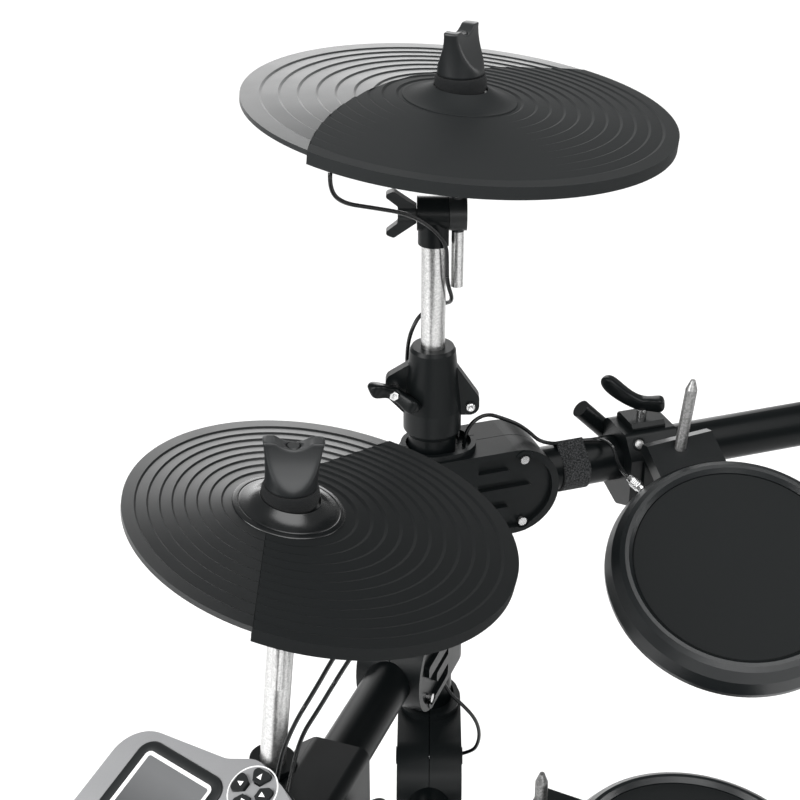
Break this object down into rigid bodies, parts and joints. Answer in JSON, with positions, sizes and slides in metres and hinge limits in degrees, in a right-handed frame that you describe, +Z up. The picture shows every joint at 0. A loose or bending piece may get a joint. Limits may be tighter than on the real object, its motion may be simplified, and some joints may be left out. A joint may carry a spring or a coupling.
{
  "type": "electronic drum kit",
  "caption": "Electronic drum kit on a tube rack: rubber drum pads, two-zone cymbal pads on tilting stands and a sound module, all adjustable by clamps.",
  "frame": {"origin": "on the floor, under the middle of the kit's bounding box", "axes": "+Z up, +X to the drummer's right, +Y away from the drummer"},
  "size_m": [1.5072, 0.6426, 1.1263],
  "materials": {
    "rack_tube": "satin black",
    "casting": "fine-grained black",
    "clamp_plastic": "satin black",
    "bolt_steel": "bright zinc",
    "stand_steel": "mottled zinc plate",
    "foot_rubber": "matte",
    "plate_plastic": "satin with ring grooves",
    "pad_rubber": "matte with ring grooves",
    "felt": "pressed felt",
    "nut_plastic": "satin",
    "shell_plastic": "satin black",
    "head_rubber": "matte",
    "strap_cloth": "woven",
    "cable_jacket": "smooth",
    "module_silver": "silver paint",
    "module_black": "fine-grained black",
    "screen": "unlit display",
    "button_rubber": "matte"
  },
  "bodies": {
    "rack": {"crossbar": "rack_tube", "posts": "rack_tube", "rack_arms": "rack_tube", "corner_joint_shells": "casting", "arm_joint_shells": "casting", "snare_joint_shells": "casting", "joint_bolts": "bolt_steel", "rubber_feet": "foot_rubber", "post_collars": "casting", "pad_clamps": "clamp_plastic", "arm_clamps": "clamp_plastic", "wing_bolts": "clamp_plastic", "cable_straps": "strap_cloth", "pad_cables": "cable_jacket"},
    "crash_stand": {"crash_tube": "stand_steel", "crash_tilter_base": "clamp_plastic"},
    "crash_pad": {"crash_tilter_head": "head_rubber", "crash_plate": "plate_plastic", "crash_rubber": "pad_rubber", "crash_felts": "felt"},
    "crash_nut": {"crash_wing_nut": "nut_plastic"},
    "ride_stand": {"ride_tube": "stand_steel", "ride_tilter_base": "clamp_plastic"},
    "ride_pad": {"ride_tilter_head": "head_rubber", "ride_plate": "plate_plastic", "ride_rubber": "pad_rubber", "ride_felts": "felt"},
    "ride_nut": {"ride_wing_nut": "nut_plastic"},
    "hihat_stand": {"hihat_tube": "stand_steel", "hihat_tilter_base": "clamp_plastic"},
    "hihat_pad": {"hihat_tilter_head": "head_rubber", "hihat_plate": "plate_plastic", "hihat_rubber": "pad_rubber", "hihat_felts": "felt"},
    "hihat_nut": {"hihat_wing_nut": "nut_plastic"},
    "snare_arm": {"snare_rod": "stand_steel"},
    "snare_pad": {"snare_bracket": "clamp_plastic", "snare_shell": "shell_plastic", "snare_head": "head_rubber"},
    "tom_1_arm": {"tom_1_rod": "stand_steel"},
    "tom_1_pad": {"tom_1_bracket": "clamp_plastic", "tom_1_shell": "shell_plastic", "tom_1_head": "head_rubber"},
    "tom_2_arm": {"tom_2_rod": "stand_steel"},
    "tom_2_pad": {"tom_2_bracket": "clamp_plastic", "tom_2_shell": "shell_plastic", "tom_2_head": "head_rubber"},
    "floor_tom_arm": {"floor_tom_rod": "stand_steel"},
    "floor_tom_pad": {"floor_tom_bracket": "clamp_plastic", "floor_tom_shell": "shell_plastic", "floor_tom_head": "head_rubber"},
    "module": {"module_back": "module_black", "module_front": "module_silver", "module_screen": "screen"},
    "knob": {"module_knob": "module_black"},
    "button_right": {"module_button_right": "button_rubber"},
    "button_up": {"module_button_up": "button_rubber"},
    "button_left": {"module_button_left": "button_rubber"},
    "button_down": {"module_button_down": "button_rubber"}
  },
  "joints": [
    {"name": "crash_height", "type": "slide", "parent": "rack", "child": "crash_stand", "axis": [0, 0, 1], "range_m": [-0.045, 0.1], "deforming": ["pad_cables"]},
    {"name": "crash_tilt", "type": "hinge", "parent": "crash_stand", "child": "crash_pad", "pos_m": [-0.345, 0.1687, 0.985], "axis": [0.9466, -0.3223, 0], "range_deg": [-14, 14], "deforming": ["pad_cables"]},
    {"name": "crash_nut_turn", "type": "hinge", "parent": "crash_pad", "child": "crash_nut", "pos_m": [-0.32815, 0.16296, 0.985], "axis": [0, 0, 1], "continuous": true},
    {"name": "ride_height", "type": "slide", "parent": "rack", "child": "ride_stand", "axis": [0, 0, 1], "range_m": [-0.045, 0.1]},
    {"name": "ride_tilt", "type": "hinge", "parent": "ride_stand", "child": "ride_pad", "pos_m": [0.345, 0.1687, 0.985], "axis": [-0.9466, -0.3223, 0], "range_deg": [-14, 14]},
    {"name": "ride_nut_turn", "type": "hinge", "parent": "ride_pad", "child": "ride_nut", "pos_m": [0.32815, 0.16296, 0.985], "axis": [0, 0, 1], "continuous": true},
    {"name": "hihat_height", "type": "slide", "parent": "rack", "child": "hihat_stand", "axis": [0.074, -0.061, 0.9954], "range_m": [-0.06, 0.06], "deforming": ["pad_cables"]},
    {"name": "hihat_tilt", "type": "hinge", "parent": "hihat_stand", "child": "hihat_pad", "pos_m": [-0.51739, -0.01319, 0.7932], "axis": [-0.325, -0.9451, -0.0337], "range_deg": [-14, 14], "deforming": ["pad_cables"]},
    {"name": "hihat_nut_turn", "type": "hinge", "parent": "hihat_pad", "child": "hihat_nut", "pos_m": [-0.52317, -0.03001, 0.7926], "axis": [0.074, -0.061, 0.9954], "continuous": true},
    {"name": "snare_tilt", "type": "hinge", "parent": "rack", "child": "snare_arm", "pos_m": [-0.41613, -0.02995, 0.496], "axis": [0.9415, -0.3371, 0], "range_deg": [-12, 12]},
    {"name": "snare_swivel", "type": "hinge", "parent": "snare_arm", "child": "snare_pad", "pos_m": [-0.33893, -0.05759, 0.496], "axis": [0, 0, 1], "range_deg": [-15, 15]},
    {"name": "tom_1_tilt", "type": "hinge", "parent": "rack", "child": "tom_1_arm", "pos_m": [-0.159, 0.1687, 0.745], "axis": [0, -1, 0], "range_deg": [-12, 12], "deforming": ["pad_cables"]},
    {"name": "tom_1_swivel", "type": "hinge", "parent": "tom_1_arm", "child": "tom_1_pad", "pos_m": [-0.159, 0.1067, 0.745], "axis": [0.1045, 0, 0.9945], "range_deg": [-15, 15], "deforming": ["pad_cables"]},
    {"name": "tom_2_tilt", "type": "hinge", "parent": "rack", "child": "tom_2_arm", "pos_m": [0.159, 0.1687, 0.745], "axis": [0, -1, 0], "range_deg": [-12, 12]},
    {"name": "tom_2_swivel", "type": "hinge", "parent": "tom_2_arm", "child": "tom_2_pad", "pos_m": [0.159, 0.1067, 0.745], "axis": [-0.1045, 0, 0.9945], "range_deg": [-15, 15]},
    {"name": "floor_tom_tilt", "type": "hinge", "parent": "rack", "child": "floor_tom_arm", "pos_m": [0.51674, -0.03964, 0.62], "axis": [-0.7716, -0.6361, 0], "range_deg": [-12, 12]},
    {"name": "floor_tom_swivel", "type": "hinge", "parent": "floor_tom_arm", "child": "floor_tom_pad", "pos_m": [0.4689, -0.07908, 0.62], "axis": [0, 0, 1], "range_deg": [-15, 15]},
    {"name": "module_tilt", "type": "hinge", "parent": "rack", "child": "module", "pos_m": [-0.59625, -0.13609, 0.68], "axis": [0.5299, -0.848, 0], "range_deg": [-15, 8]},
    {"name": "knob_turn", "type": "hinge", "parent": "module", "child": "knob", "pos_m": [-0.58719, -0.19411, 0.72526], "axis": [-0.385, -0.2406, 0.891], "range_deg": [-150, 150]},
    {"name": "button_right_press", "type": "slide", "parent": "module", "child": "button_right", "axis": [0.385, 0.2406, -0.891], "range_m": [0, 0.0015], "stiffness_N_per_m": 300, "springref_m": -0.001},
    {"name": "button_up_press", "type": "slide", "parent": "module", "child": "button_up", "axis": [0.385, 0.2406, -0.891], "range_m": [0, 0.0015], "stiffness_N_per_m": 300, "springref_m": -0.001},
    {"name": "button_left_press", "type": "slide", "parent": "module", "child": "button_left", "axis": [0.385, 0.2406, -0.891], "range_m": [0, 0.0015], "stiffness_N_per_m": 300, "springref_m": -0.001},
    {"name": "button_down_press", "type": "slide", "parent": "module", "child": "button_down", "axis": [0.385, 0.2406, -0.891], "range_m": [0, 0.0015], "stiffness_N_per_m": 300, "springref_m": -0.001}
  ]
}
